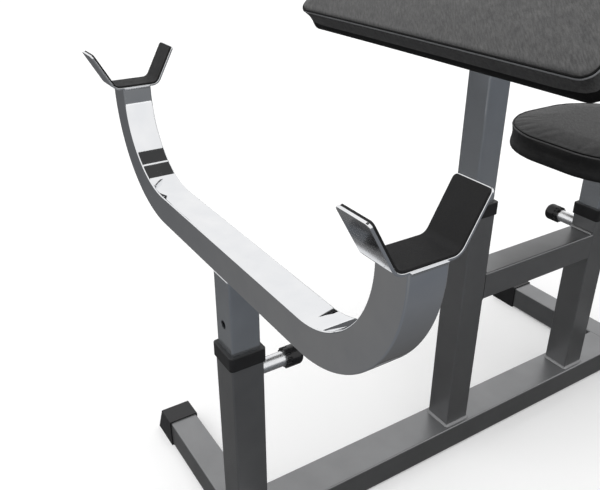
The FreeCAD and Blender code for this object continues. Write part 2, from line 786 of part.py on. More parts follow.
def make_nodes():
    nodes = {
        "base_rail": make_base_rail(),
        "front_foot_tube": make_foot_tube(REST_Y),
        "rear_foot_tube": make_foot_tube(REAR_FOOT_Y),
        "rest_post": make_post(REST_POST_LENGTH, REST_Y, Y_AXIS),
        "pad_post": make_post(PAD_POST_LENGTH, PAD_Y, -Y_AXIS),
        "seat_post": make_post(SEAT_POST_LENGTH, SEAT_Y, -X_AXIS),
        "seat_beam": make_seat_beam(),
        "frame_weld_beads": make_frame_welds(),
        "rest_collar": make_collar(REST_POST_LENGTH, REST_Y),
        "pad_collar": make_collar(PAD_POST_LENGTH, PAD_Y),
        "seat_collar": make_collar(SEAT_POST_LENGTH, SEAT_Y),
        "rest_slide_plug": make_slide_plug(REST_POST_LENGTH, REST_Y, REST_STEPS_UP),
        "pad_slide_plug": make_slide_plug(PAD_POST_LENGTH, PAD_Y, PAD_STEPS_UP),
        "seat_slide_plug": make_slide_plug(SEAT_POST_LENGTH, SEAT_Y, SEAT_STEPS_UP),
        "rest_bar": make_rest_bar(),
        "rest_weld_beads": make_rest_welds(),
        "pad_slide_tube": make_pad_slide_tube(),
        "pad_gussets": make_pad_gussets(),
    }
    for end, y in (("front", REST_Y), ("rear", REAR_FOOT_Y)):
        for name, side in (("left", -1), ("right", 1)):
            nodes[f"{end}_{name}_foot_cap"] = make_foot_cap(y, side)
    for name, side in (("left", -1), ("right", 1)):
        nodes[f"{name}_cradle"] = make_cradle(side)
        nodes[f"{name}_cradle_liner"] = make_liner(side)
    rest_steps = (REST_STEPS_UP, REST_STEPS_DOWN)
    nodes["rest_slide_tube"] = make_slide_tube(
        REST_POST_LENGTH, REST_Y, rest_steps, rest_bar_bottom(), Y_AXIS, drill_start=-SLIDE
    )
    seat_steps = (SEAT_STEPS_UP, SEAT_STEPS_DOWN)
    seat_top = seat_placement().Base.z - PLATE
    nodes["seat_slide_tube"] = make_slide_tube(SEAT_POST_LENGTH, SEAT_Y, seat_steps, seat_top, -X_AXIS)
    pad_size = (PAD_LENGTH, PAD_WIDTH, PAD_CORNER)
    pad_plate = (PAD_PLATE_LENGTH, PAD_PLATE_WIDTH)
    pad_bolts = (PAD_BOLT_X, PAD_BOLT_Y)
    seat_size = (SEAT_WIDTH, SEAT_DEPTH, SEAT_CORNER)
    seat_plate = (SEAT_PLATE_LENGTH, SEAT_PLATE_WIDTH)
    seat_bolts = (SEAT_BOLT_X, SEAT_BOLT_Y)
    tops = {
        "pad": make_top(*pad_size, PAD_SHIFT, pad_plate, pad_bolts, pad_placement()),
        "seat": make_top(*seat_size, 0.0, seat_plate, seat_bolts, seat_placement()),
    }
    for top, pieces in tops.items():
        for name, shape in pieces.items():
            nodes[f"{top}_{name}"] = shape
    pins = {
        "rest": make_pin_set(REST_Y, REST_POST_LENGTH, Y_AXIS),
        "pad": make_pin_set(PAD_Y, PAD_POST_LENGTH, -Y_AXIS),
        "seat": make_pin_set(SEAT_Y, SEAT_POST_LENGTH, -X_AXIS),
    }
    for owner, pieces in pins.items():
        for name, shape in pieces.items():
            nodes[f"{owner}_{name}"] = shape
    return nodes


def main():
    os.makedirs("parts", exist_ok=True)
    for name, shape in make_nodes().items():
        shape.exportStep(f"parts/{name}.step")


main()
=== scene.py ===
"""Preacher curl bench: its looks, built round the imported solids. Metres, +Z up, +Y towards the seat."""

import json
import math

import bmesh
import bpy
import numpy as np
from mathutils import Matrix, Vector
from mathutils.bvhtree import BVHTree
from mathutils.kdtree import KDTree


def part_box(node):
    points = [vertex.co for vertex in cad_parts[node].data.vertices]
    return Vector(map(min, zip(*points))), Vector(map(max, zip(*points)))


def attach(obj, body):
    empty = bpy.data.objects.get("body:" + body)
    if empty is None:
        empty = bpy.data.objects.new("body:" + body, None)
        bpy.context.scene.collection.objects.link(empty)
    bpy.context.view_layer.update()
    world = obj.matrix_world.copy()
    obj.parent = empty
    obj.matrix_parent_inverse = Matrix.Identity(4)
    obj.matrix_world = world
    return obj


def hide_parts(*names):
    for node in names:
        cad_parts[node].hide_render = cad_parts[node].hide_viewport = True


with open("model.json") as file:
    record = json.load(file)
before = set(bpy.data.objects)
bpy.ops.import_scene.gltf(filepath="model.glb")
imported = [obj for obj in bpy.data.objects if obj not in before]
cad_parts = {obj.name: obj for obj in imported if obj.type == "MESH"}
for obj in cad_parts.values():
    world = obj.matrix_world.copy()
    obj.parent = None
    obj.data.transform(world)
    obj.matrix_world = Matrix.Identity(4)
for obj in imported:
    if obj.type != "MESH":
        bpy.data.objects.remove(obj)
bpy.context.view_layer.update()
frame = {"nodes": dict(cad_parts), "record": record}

# The photograph's camera
CAMERA_PLACE = (0.85095, -0.94046, 1.12270)
CAMERA_AZIMUTH = math.radians(57.923)
CAMERA_ELEVATION = math.radians(27.356)
CAMERA_LENS = 41.309
CAMERA_SENSOR = 36.0

# Barbell rest
BEND_INNER = 0.147
BAR_CORNER = 0.0025
BAR_STEPS = (0.02, 0.004)
CRADLE_FLAT = 0.0835
CRADLE_FLARE = 0.0360
CRADLE_RISE = 0.0650
CRADLE_PLATE = 0.0035
CRADLE_BEND_INNER = 0.016
CRADLE_TIP_CORNER = 0.0055
CRADLE_EDGE = 0.0008
CRADLE_STEPS = (0.008, 0.0012)
EDGE_STEPS = 4
TIP_STEPS = 9
LINER = 0.003
LINER_INSET = 0.001
LINER_EDGE = 0.0008
GLUE_LINE = 0.0001

# Folds sharper than this stay crisp
SHARP_EDGE = math.radians(55)

# Welds
FRAME_WELD_LEG = 0.005
REST_WELD_LEG = 0.003
CRADLE_WELD_LAP = 0.0014
GROOVE_WELD_DEPTH = 0.0018
GROOVE_WELD_OUT = 0.0024
GROOVE_WELD_UP = 0.0030
TUBE_CORNER = 0.003
RIPPLE_PITCH = 0.0032
RIPPLE_DEPTH = 0.16
BEAD_STEP = 0.0008
BEAD_SIDES = 4
BEAD_HOLLOW = 0.14

# Upholstery
PAD_ANGLE = math.radians(40)
PAD_CORNER = 0.020
SEAT_CORNER = 0.150
BOARD = 0.012
BOARD_INSET = 0.009
BOARD_GAP = 0.0003
BOARD_RIM = 0.003
SEAM_HEIGHT = 0.045
CELL = 0.0055
CELL_LEVELS = 7
SHRINK = 0.001
SIDE_SWELL = 0.003
TOP_SWELL = 0.0035
SWELL_PRESSURE = 4.0
SWELL_FRAMES = 20
HELD_HEIGHT = 0.008
SEAM_HOLD = 0.002
SEAM_DEPTH = 0.0012
SEAM_WIDTH = 0.0032
PUCKER_DEPTH = 0.0004
PUCKER_REACH = 0.012
PUCKER_LIMIT = 6 * PUCKER_REACH
PUCKER_SEED = 7
PUCKER_WAVES = 9
PUCKER_TURNS = (90, 320)
SEAM_STEP = 0.004
SEAM_CORNER_STEPS = 40
PIPING_RADIUS = 0.0016
PIPING_SIDES = 10
PAD_FULLNESS = 1.0
SEAT_FULLNESS = 0.5
SIDE_HEIGHTS = (0.0, 0.012, 0.034, 0.040, SEAM_HEIGHT)
SIDE_FULLNESS = (0.0025, 0.0032, 0.0032, 0.0040, 0.0044)
EDGE_REACH = (0.004, 0.014)
LIP_DROP = 0.002
LIP_HEIGHT = 0.010
LIP_REACH = (0.004, 0.0085)
SKIRT_HEIGHT = 0.017
ROLL_LIFT = 0.0038
# A cord of the dark vinyl above the piping: painted shade of the seam's groove.
SEAM_SHADE_CORD_RISE = 0.0030
SEAM_SHADE_CORD_INSET = 0.0008
ROLL_REACH = (0.0003, 0.002)
ROLL_FADE = (0.015, 0.080)

# Surface detail, in repeats per metre
PAINT_CLOUDS = 14.0
PAINT_FLAKES = 2600.0
PAINT_PEEL = 700.0
PLATING_HAZE = 22.0
PLATING_MARKS = (60.0, 900.0, 900.0)
PLATING_WAVES = 5.0
MOULD_GRAIN = 1500.0
MOULD_SCUFFS = 60.0
RUBBER_PEBBLES = 900.0
RUBBER_DUST = 80.0
VINYL_MOTTLE = 55.0
VINYL_GRAIN = 820.0
VINYL_STREAKS = (430.0, 80.0, 215.0)
STREAK_ANGLE = math.radians(48)
WOOD_GRAIN = (6.0, 120.0, 120.0)
PLY_LAYERS = 105.0
ZINC_PATCHES = 120.0
ZINC_MARKS = 1800.0

# Studio
FLOOR_SIZE = 60.0
FLOOR_COLOUR = 0.86
FLOOR_BOUNCE = 0.08
FLOOR_GLOW = 0.15
WORLD_LIGHT = 0.55
SUN_STRENGTH = 1.9
SUN_SPREAD = math.radians(70)
SUN_TURN = (math.radians(14), math.radians(8), 0)
# The ground card glows grey and is seen only in reflections: a painted reflection of ground in the
# chrome, with painted shadow under the bench (GROUND_SHADE).
GROUND_CARD_RADIUS = 13.0
GROUND_CARD_SIDES = 96
GROUND_CARD_LIFT = 0.0004
GROUND_ACROSS = (0.6, -0.3, 0)
GROUND_SPAN = (-1.0, 1.5)
GROUND_GREYS = (
    (0.06, (0.118, 0.121, 0.126)),
    (0.42, (0.172, 0.172, 0.173)),
    (0.68, (0.150, 0.160, 0.177)),
    (0.94, (0.20, 0.207, 0.215)),
)
GROUND_SHADE = (0.6, 1.0)
GROUND_SHADE_REACH = (0.15, 0.95)
# Dark glowing panels overhead, seen only in reflections: painted dark reflections in the chrome.
CEILING = 3.1
CEILING_GREY = 0.06
CEILING_PANELS = {"left": (-1.1, -0.13), "right": (-0.03, 0.87)}
CEILING_FRONT = -1.2
CEILING_BACK = 2.0


# Shader nodes


def add_node(tree, kind, inputs=None, **settings):
    """A shader node with its settings, and its inputs set to values or linked to sockets."""
    made = tree.nodes.new(kind)
    for name, value in settings.items():
        setattr(made, name, value)
    for name, value in (inputs or {}).items():
        if isinstance(value, bpy.types.NodeSocket):
            tree.links.new(value, made.inputs[name])
        else:
            made.inputs[name].default_value = value
    return made


def new_material(name):
    """A material with its node tree and its shader."""
    material = bpy.data.materials.new(name)
    material.use_nodes = True
    tree = material.node_tree
    return material, tree, tree.nodes["Principled BSDF"]


def place(tree, scale=(1, 1, 1), rotation=(0, 0, 0)):
    """Coordinates on the piece, in metres, along turned axes and stretched."""
    coords = add_node(tree, "ShaderNodeTexCoord")
    inputs = {
        "Vector": coords.outputs["Object"],
        "Rotation": rotation,
        "Scale": tuple(1 / stretch for stretch in scale),
    }
    return add_node(tree, "ShaderNodeMapping", inputs, vector_type="TEXTURE").outputs["Vector"]


def noise(tree, where, scale, detail=3.0, roughness=0.5):
    """Cloudy values round one half."""
    inputs = {"Vector": where, "Scale": scale, "Detail": detail, "Roughness": roughness}
    return add_node(tree, "ShaderNodeTexNoise", inputs).outputs["Fac"]


def cells(tree, where, scale):
    """Distances from the middles of small cells, as on a pebbled face."""
    inputs = {"Vector": where, "Scale": scale}
    return add_node(tree, "ShaderNodeTexVoronoi", inputs).outputs["Distance"]


def spread(tree, value, low, high, start=0.3, stop=0.7):
    """A texture's value carried from start..stop to low..high."""
    inputs = {"Value": value, "From Min": start, "From Max": stop, "To Min": low, "To Max": high}
    return add_node(tree, "ShaderNodeMapRange", inputs).outputs["Result"]


def ramp(tree, value, *stops):
    """A colour ramp through (position, colour) stops."""
    made = add_node(tree, "ShaderNodeValToRGB", {"Fac": value})
    elements = made.color_ramp.elements
    while len(elements) < len(stops):
        elements.new(0.5)
    for element, (position, colour) in zip(elements, stops):
        element.position = position
        element.color = (*colour, 1)
    return made.outputs["Color"]


def blend(tree, mode, factor, first, second):
    """Two colours mixed by a factor, each a value or a socket."""
    made = add_node(tree, "ShaderNodeMix", data_type="RGBA", blend_type=mode)
    for index, value in ((0, factor), (6, first), (7, second)):
        if isinstance(value, bpy.types.NodeSocket):
            tree.links.new(value, made.inputs[index])
        else:
            made.inputs[index].default_value = value
    return made.outputs[2]


def bump(tree, shader, *layers):
    """Relief from (height, distance in metres) layers, fed to the shader's normal."""
    normal = None
    for height, distance in layers:
        inputs = {"Height": height, "Distance": distance, "Strength": 1.0}
        if normal is not None:
            inputs["Normal"] = normal
        normal = add_node(tree, "ShaderNodeBump", inputs).outputs["Normal"]
    tree.links.new(normal, shader.inputs["Normal"])


def shade(colour, factor):
    """A colour made darker or lighter."""
    return tuple(channel * factor for channel in colour)


def painted_steel(name, colour, metallic, roughness, relief):
    """Metallic powder coat: fine orange peel, flakes and faint unevenness."""
    material, tree, shader = new_material(name)
    where = place(tree)
    cloudy = noise(tree, where, PAINT_CLOUDS, 4.0)
    flakes = noise(tree, where, PAINT_FLAKES, 1.0)
    colour_cloud = ramp(tree, cloudy, (0.3, shade(colour, 0.94)), (0.7, shade(colour, 1.06)))
    flake_mask = spread(tree, flakes, 0.0, 0.07, 0.58, 0.72)
    lit = (*shade(colour, 1.4), 1)
    tree.links.new(blend(tree, "MIX", flake_mask, colour_cloud, lit), shader.inputs["Base Color"])
    peel = noise(tree, where, PAINT_PEEL, 2.0)
    uneven = spread(tree, peel, roughness * 0.87, roughness * 1.16)
    tree.links.new(uneven, shader.inputs["Roughness"])
    bump(tree, shader, (peel, relief), (flakes, relief / 5))
    shader.inputs["Metallic"].default_value = metallic
    shader.inputs["IOR"].default_value = 1.5
    return material


def chrome(name, roughness):
    """Bright plating with faint buffing marks and the slight waviness of bent tube."""
    material, tree, shader = new_material(name)
    where = place(tree)
    haze = noise(tree, where, PLATING_HAZE, 5.0)
    marks = noise(tree, place(tree, PLATING_MARKS), 1.0, 2.0)
    tint = ramp(tree, haze, (0.3, (0.80, 0.81, 0.83)), (0.7, (0.86, 0.865, 0.875)))
    tree.links.new(tint, shader.inputs["Base Color"])
    uneven = spread(tree, marks, roughness * 0.7, roughness * 1.4)
    tree.links.new(uneven, shader.inputs["Roughness"])
    waves = noise(tree, where, PLATING_WAVES, 1.0)
    bump(tree, shader, (waves, 0.0004), (marks, 0.0000015))
    shader.inputs["Metallic"].default_value = 1.0
    return material


def moulded_plastic(name, colour, roughness, grain):
    """Black moulding with a spark-eroded grain."""
    material, tree, shader = new_material(name)
    where = place(tree)
    fine = noise(tree, where, MOULD_GRAIN, 3.0)
    scuffs = noise(tree, where, MOULD_SCUFFS, 6.0, 0.65)
    tint = ramp(tree, scuffs, (0.35, shade(colour, 0.85)), (0.75, shade(colour, 1.35)))
    tree.links.new(tint, shader.inputs["Base Color"])
    uneven = spread(tree, scuffs, roughness - 0.05, roughness + 0.08)
    tree.links.new(uneven, shader.inputs["Roughness"])
    bump(tree, shader, (fine, grain))
    shader.inputs["Specular IOR Level"].default_value = 0.4
    return material


def liner_rubber(name):
    """Matte rubber sheet with a fine pebbled face and a trace of dust."""
    material, tree, shader = new_material(name)
    where = place(tree)
    pebbles = cells(tree, where, RUBBER_PEBBLES)
    dust = noise(tree, where, RUBBER_DUST, 6.0, 0.7)
    tint = ramp(tree, dust, (0.3, (0.009, 0.009, 0.0095)), (0.75, (0.017, 0.017, 0.0175)))
    tree.links.new(tint, shader.inputs["Base Color"])
    tree.links.new(spread(tree, dust, 0.62, 0.8), shader.inputs["Roughness"])
    bump(tree, shader, (pebbles, 0.00012))
    shader.inputs["Specular IOR Level"].default_value = 0.35
    return material


def vinyl(name, dark, light, streaks, gloss=0.35, sheen=0.03):
    """Upholstery vinyl: pebbled grain, fine slanted streaks all over, soft mottling."""
    material, tree, shader = new_material(name)
    where = place(tree)
    mottle = noise(tree, where, VINYL_MOTTLE, 7.0, 0.68)
    streak = noise(tree, place(tree, VINYL_STREAKS, (0, 0, STREAK_ANGLE)), 1.0, 4.0, 0.6)
    grain = cells(tree, where, VINYL_GRAIN)
    base = ramp(tree, mottle, (0.32, dark), (0.7, light))
    line = ramp(tree, streak, (0.3, (0.0, 0.0, 0.0)), (0.72, (1.0, 1.0, 1.0)))
    tree.links.new(blend(tree, "OVERLAY", streaks, base, line), shader.inputs["Base Color"])
    tree.links.new(spread(tree, streak, 0.44, 0.6), shader.inputs["Roughness"])
    bump(tree, shader, (grain, 0.00016), (streak, 0.00012), (mottle, 0.0004))
    shader.inputs["Specular IOR Level"].default_value = gloss
    shader.inputs["Sheen Weight"].default_value = sheen
    return material


def plywood(name, angle):
    """Birch ply: grain along the board, and its glued layers on the cut edges."""
    material, tree, shader = new_material(name)
    turned = (angle, 0, 0)
    grain = noise(tree, place(tree, WOOD_GRAIN, turned), 1.0, 6.0, 0.6)
    bands = {"Vector": place(tree, (1, 1, 1), turned), "Scale": PLY_LAYERS, "Distortion": 0.4}
    layers = add_node(tree, "ShaderNodeTexWave", bands, bands_direction="Z").outputs["Fac"]
    wood = ramp(tree, grain, (0.3, (0.36, 0.23, 0.12)), (0.7, (0.58, 0.42, 0.26)))
    glue = ramp(tree, layers, (0.4, (0.55, 0.5, 0.45)), (0.6, (1, 1, 1)))
    tree.links.new(blend(tree, "MULTIPLY", 0.6, wood, glue), shader.inputs["Base Color"])
    tree.links.new(spread(tree, grain, 0.55, 0.75), shader.inputs["Roughness"])
    bump(tree, shader, (grain, 0.0002))
    return material


def zinc_steel(name):
    """Zinc-plated steel with turning marks."""
    material, tree, shader = new_material(name)
    where = place(tree)
    patch = noise(tree, where, ZINC_PATCHES, 5.0)
    fine = noise(tree, where, ZINC_MARKS, 2.0)
    tint = ramp(tree, patch, (0.3, (0.42, 0.42, 0.43)), (0.7, (0.60, 0.60, 0.59)))
    tree.links.new(tint, shader.inputs["Base Color"])
    tree.links.new(spread(tree, patch, 0.28, 0.42), shader.inputs["Roughness"])
    bump(tree, shader, (fine, 0.00003))
    shader.inputs["Metallic"].default_value = 1.0
    return material


MATERIALS = {
    "frame_paint": painted_steel(
        "frame_paint_coat", (0.265, 0.267, 0.272), metallic=0.85, roughness=0.36, relief=0.00003
    ),
    "slide_paint": painted_steel(
        "slide_paint_coat", (0.58, 0.605, 0.635), metallic=0.9, roughness=0.17, relief=0.000003
    ),
    "black_plastic": moulded_plastic(
        "black_plastic_moulding", (0.016, 0.016, 0.017), roughness=0.42, grain=0.00008
    ),
    "chrome": chrome("chrome_plating", roughness=0.035),
    "liner_rubber": liner_rubber("liner_rubber_sheet"),
    "vinyl": vinyl("arm_pad_vinyl", (0.072, 0.072, 0.073), (0.104, 0.103, 0.102), streaks=0.38),
    "plywood": plywood("seat_plywood", angle=0.0),
    "knob_plastic": moulded_plastic(
        "knob_plastic_gloss", (0.012, 0.012, 0.013), roughness=0.2, grain=0.00002
    ),
    "steel": zinc_steel("zinc_plated_steel"),
}
PAD_PLYWOOD = plywood("arm_pad_plywood", angle=PAD_ANGLE)
SATIN_PLATING = chrome("satin_plating", roughness=0.28)
CRADLE_CHROME = chrome("cradle_plating", roughness=0.07)
SEAT_VINYL = vinyl(
    "seat_vinyl", (0.012, 0.012, 0.0124), (0.023, 0.023, 0.0235), streaks=0.2, gloss=0.28, sheen=0.02
)
# Dark vinyl for the cover's bottom band, which is darker than its sides, and for the cord above the
# piping, which is painted shade of the seam's groove.
DARK_BAND_AND_SEAM_SHADE = vinyl(
    "dark_band_and_seam_shade_vinyl", (0.006, 0.006, 0.006), (0.012, 0.012, 0.012), streaks=0.1, gloss=0.1, sheen=0.0
)
# Each piping is much lighter than its cover: painted highlight, standing in for the lit top of the cord.
PAD_PIPING = vinyl("arm_pad_piping", (0.24, 0.245, 0.255), (0.29, 0.295, 0.305), streaks=0.1)
SEAT_PIPING = vinyl("seat_piping", (0.11, 0.11, 0.112), (0.14, 0.14, 0.142), streaks=0.1)


def dress_nodes():
    """Gives each kept solid the material of its slot, or one of its own."""
    for part in frame["record"]["subparts"]:
        node = frame["nodes"][part["node"]]
        node.material_slots[0].material = MATERIALS[part["material_slot"]]
    frame["nodes"]["pad_board"].material_slots[0].material = PAD_PLYWOOD
    for name in ("rest", "pad", "seat"):
        frame["nodes"][f"{name}_pin_barrel"].material_slots[0].material = SATIN_PLATING


# Meshes


def add_piece(name, vertices, faces, material, body, slot, *replaced):
    """A mesh piece with smooth faces that rides on a body and stands for CAD nodes."""
    mesh = bpy.data.meshes.new(name)
    mesh.from_pydata([tuple(v) for v in vertices], [], faces)
    mesh.validate()
    made = bmesh.new()
    made.from_mesh(mesh)
    bmesh.ops.recalc_face_normals(made, faces=made.faces)
    made.to_mesh(mesh)
    made.free()
    mesh.polygons.foreach_set("use_smooth", [True] * len(mesh.polygons))
    mesh.set_sharp_from_angle(angle=SHARP_EDGE)
    piece = bpy.data.objects.new(name, mesh)
    bpy.context.scene.collection.objects.link(piece)
    mesh.materials.append(material)
    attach(piece, body)
    if replaced:
        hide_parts(*replaced)
    return piece


def keep_flats(piece):
    """Lets large faces set the normals, so that flat sides stay flat beside small rounded edges."""
    weighted = piece.modifiers.new("flat_sides", "WEIGHTED_NORMAL")
    weighted.weight = 100
    weighted.keep_sharp = True


def join_rings(rings, first_vertex=0, closed=False):
    """Quads between equal rings of points, with end caps unless the rings close on themselves."""
    count = len(rings[0])
    vertices = [point for ring in rings for point in ring]
    faces = []
    pairs = len(rings) if closed else len(rings) - 1
    for index in range(pairs):
        here = first_vertex + index * count
        there = first_vertex + (index + 1) % len(rings) * count
        for k in range(count):
            after = (k + 1) % count
            faces.append((here + k, here + after, there + after, there + k))
    if not closed:
        last = first_vertex + (len(rings) - 1) * count
        faces.append(tuple(first_vertex + k for k in reversed(range(count))))
        faces.append(tuple(last + k for k in range(count)))
    return vertices, faces


class BentPath:
    """A line through corners in a plane, rounded at each inner corner by one radius."""

    def __init__(self, corners, radius):
        self.parts = []
        self.length = 0.0
        points = [Vector(corner) for corner in corners]
        here = points[0]
        for before, corner, after in zip(points, points[1:], points[2:]):
            arriving = (corner - before).normalized()
            leaving = (after - corner).normalized()
            turn = math.atan2(arriving.cross(leaving), arriving.dot(leaving))
            reach = radius * math.tan(abs(turn) / 2)
            bend = corner - arriving * reach
            self._add(here, arriving, (bend - here).length, 0.0)
            self._add(bend, arriving, radius * abs(turn), math.copysign(1 / radius, turn))
            here = corner + leaving * reach
        last = (points[-1] - here).normalized()
        self._add(here, last, (points[-1] - here).length, 0.0)

    def _add(self, start, direction, length, curvature):
        self.parts.append((self.length, start, direction, length, curvature))
        self.length += length

    def at(self, distance):
        """The point and the direction at a distance along the line."""
        part = [p for p in self.parts if p[0] <= distance + 1e-9][-1]
        begun, start, direction, _, curvature = part
        run = distance - begun
        if curvature == 0:
            return start + direction * run, direction
        side = Vector((-direction.y, direction.x))
        angle = run * curvature
        along = direction * math.sin(angle) + side * (1 - math.cos(angle))
        return start + along / curvature, direction * math.cos(angle) + side * math.sin(angle)

    def distances(self, straight_step, arc_step):
        """Distances along the line, close together in the bends."""
        found = [0.0]
        for begun, _, _, length, curvature in self.parts:
            steps = max(1, math.ceil(length / (arc_step if curvature else straight_step)))
            found += [begun + length * (k + 1) / steps for k in range(steps)]
        return found


def rounded_section(half_width, half_height, corner, steps=5):
    """Points round a rectangle with rounded corners, as (across, up) pairs."""
    points = []
    for quarter in range(4):
        sign_x, sign_y = ((1, 1), (-1, 1), (-1, -1), (1, -1))[quarter]
        for step in range(steps + 1):
            angle = math.pi / 2 * (quarter + step / steps)
            x = sign_x * (half_width - corner) + corner * math.cos(angle)
            y = sign_y * (half_height - corner) + corner * math.sin(angle)
            points.append((x, y))
    return points


def swept_rings(path, distances, to_space, across, section_at):
    """Rings of a section carried along a plane path. to_space turns plane points into space."""
    rings = []
    origin = to_space(Vector((0, 0)))
    for distance in distances:
        point, direction = path.at(distance)
        normal = to_space(Vector((-direction.y, direction.x))) - origin
        centre = to_space(point)
        rings.append([centre + across * a + normal * b for a, b in section_at(distance)])
    return rings


# Barbell rest


def make_rest_bar():
    """The chromed square tube, bent into a wide U."""
    low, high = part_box("rest_bar")
    bar = high.y - low.y
    half = high.x - bar / 2
    middle_y = (low.y + high.y) / 2
    line = low.z + bar / 2
    corners = [(-half, high.z), (-half, line), (half, line), (half, high.z)]
    path = BentPath(corners, BEND_INNER + bar / 2)
    section = rounded_section(bar / 2, bar / 2, BAR_CORNER)
    rings = swept_rings(
        path,
        path.distances(*BAR_STEPS),
        lambda p: Vector((p.x, middle_y, p.y)),
        Vector((0, 1, 0)),
        lambda distance: section,
    )
    vertices, faces = join_rings(rings)
    piece = add_piece(
        "rest_bar_tube", vertices, faces, MATERIALS["chrome"], "bar_rest", "chrome", "rest_bar"
    )
    keep_flats(piece)


def cradle_path(depth, shorten):
    """Centre line of a cradle's strip, depth above the underside of its plate, in Y and Z."""
    slope = math.atan2(CRADLE_RISE, CRADLE_FLARE)
    flat = CRADLE_FLAT / 2 - depth * math.tan(slope / 2)
    length = math.hypot(CRADLE_RISE, CRADLE_FLARE) - depth * math.tan(slope / 2) - shorten
    tip = (flat + length * math.cos(slope), depth + length * math.sin(slope))
    corners = [(-tip[0], tip[1]), (-flat, depth), (flat, depth), tip]
    return BentPath(corners, CRADLE_BEND_INNER + CRADLE_PLATE - depth)


def round_over(distance, radius):
    """How far a rounded end stands in from full size at a distance from its tip."""
    left = max(radius - distance, 0.0)
    return radius - math.sqrt(max(radius * radius - left * left, 0.0))


def round_steps(radius, first, count):
    """Distances from a tip at even turns round its rounded end."""
    return [radius * (1 - math.cos(math.pi / 2 * k / count)) for k in range(first, count + 1)]


def make_strip(name, side, depth, thickness, inset, edge, material, slot, replaced):
    """A bent strip across one arm, with rounded tips and eased edges."""
    low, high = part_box("rest_bar")
    bar = high.y - low.y
    arm_x = side * (high.x - bar / 2)
    middle_y = (low.y + high.y) / 2
    path = cradle_path(depth, inset)

    def section_at(distance):
        tip = min(distance, path.length - distance)
        eased = round_over(tip, edge)
        half_width = bar / 2 - inset - eased - round_over(tip, CRADLE_TIP_CORNER)
        half_height = thickness / 2 - eased
        return rounded_section(half_width, half_height, max(edge - eased, edge / 6), EDGE_STEPS)

    near_tip = round_steps(edge, 1, EDGE_STEPS) + round_steps(CRADLE_TIP_CORNER, 2, TIP_STEPS)
    distances = path.distances(*CRADLE_STEPS) + near_tip + [path.length - d for d in near_tip]
    rings = swept_rings(
        path,
        sorted(set(distances)),
        lambda p: Vector((arm_x, middle_y + p.x, high.z + p.y)),
        Vector((1, 0, 0)),
        section_at,
    )
    piece = add_piece(name, *join_rings(rings), material, "bar_rest", slot, replaced)
    keep_flats(piece)


def make_cradles():
    """A plated plate with a rubber liner on each arm."""
    liner_depth = CRADLE_PLATE + GLUE_LINE + LINER / 2
    for name, side in (("left", -1), ("right", 1)):
        make_strip(
            f"{name}_cradle_plate", side, CRADLE_PLATE / 2, CRADLE_PLATE, 0.0, CRADLE_EDGE,
            CRADLE_CHROME, "chrome", f"{name}_cradle",
        )
        make_strip(
            f"{name}_cradle_pad", side, liner_depth, LINER, LINER_INSET, LINER_EDGE,
            MATERIALS["liner_rubber"], "liner_rubber", f"{name}_cradle_liner",
        )


# Weld beads


def bead_rings(points, first_legs, second_legs):
    """Rings of a rippled fillet bead along points, each with its two legs."""
    rings = []
    for index, (point, first, second) in enumerate(zip(points, first_legs, second_legs)):
        phase = math.pi * index * BEAD_STEP / RIPPLE_PITCH
        size = 1 - RIPPLE_DEPTH * (1 - abs(math.sin(phase)))
        ring = [point]
        for step in range(BEAD_SIDES + 1):
            turn = math.pi / 2 * step / BEAD_SIDES
            bulge = size * (1 - BEAD_HOLLOW * math.sin(2 * turn))
            ring.append(point + first * (bulge * math.cos(turn)) + second * (bulge * math.sin(turn)))
        rings.append(ring)
    return rings


def straight_bead(start, stop, first, second):
    """A bead along a straight corner, with its two legs."""
    count = max(2, round((stop - start).length / BEAD_STEP))
    points = [start.lerp(stop, k / count) for k in range(count + 1)]
    return bead_rings(points, [first] * len(points), [second] * len(points)), False


def post_foot_bead(node, leg):
    """A bead all round a square post where it stands on the rail."""
    low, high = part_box(node)
    half = (high.x - low.x) / 2
    centre = Vector(((low.x + high.x) / 2, (low.y + high.y) / 2, low.z))
    outline = []
    straight = 2 * (half - TUBE_CORNER)
    arc = TUBE_CORNER * math.pi / 2
    perimeter = 4 * (straight + arc)
    count = round(perimeter / RIPPLE_PITCH) * round(RIPPLE_PITCH / BEAD_STEP)
    for index in range(count):
        side, along = divmod(perimeter * index / count, straight + arc)
        turn = math.pi / 2 * side
        bend = max(along - straight, 0) / TUBE_CORNER
        forward = Vector((-math.sin(turn), math.cos(turn), 0))
        outward = Vector((math.cos(turn), math.sin(turn), 0))
        corner = outward * (half - TUBE_CORNER) + forward * (min(along, straight) - straight / 2)
        facing = outward * math.cos(bend) + forward * math.sin(bend)
        outline.append((centre + corner + facing * TUBE_CORNER, facing))
    points = [point for point, _ in outline]
    outward_legs = [facing * leg for _, facing in outline]
    upward_legs = [Vector((0, 0, leg))] * count
    return bead_rings(points, outward_legs, upward_legs), True


def make_beads(name, beads, material, body, slot, replaced):
    """One piece of several beads."""
    vertices = []
    faces = []
    for rings, closed in beads:
        more_vertices, more_faces = join_rings(rings, len(vertices), closed)
        vertices += more_vertices
        faces += more_faces
    add_piece(name, vertices, faces, material, body, slot, replaced)


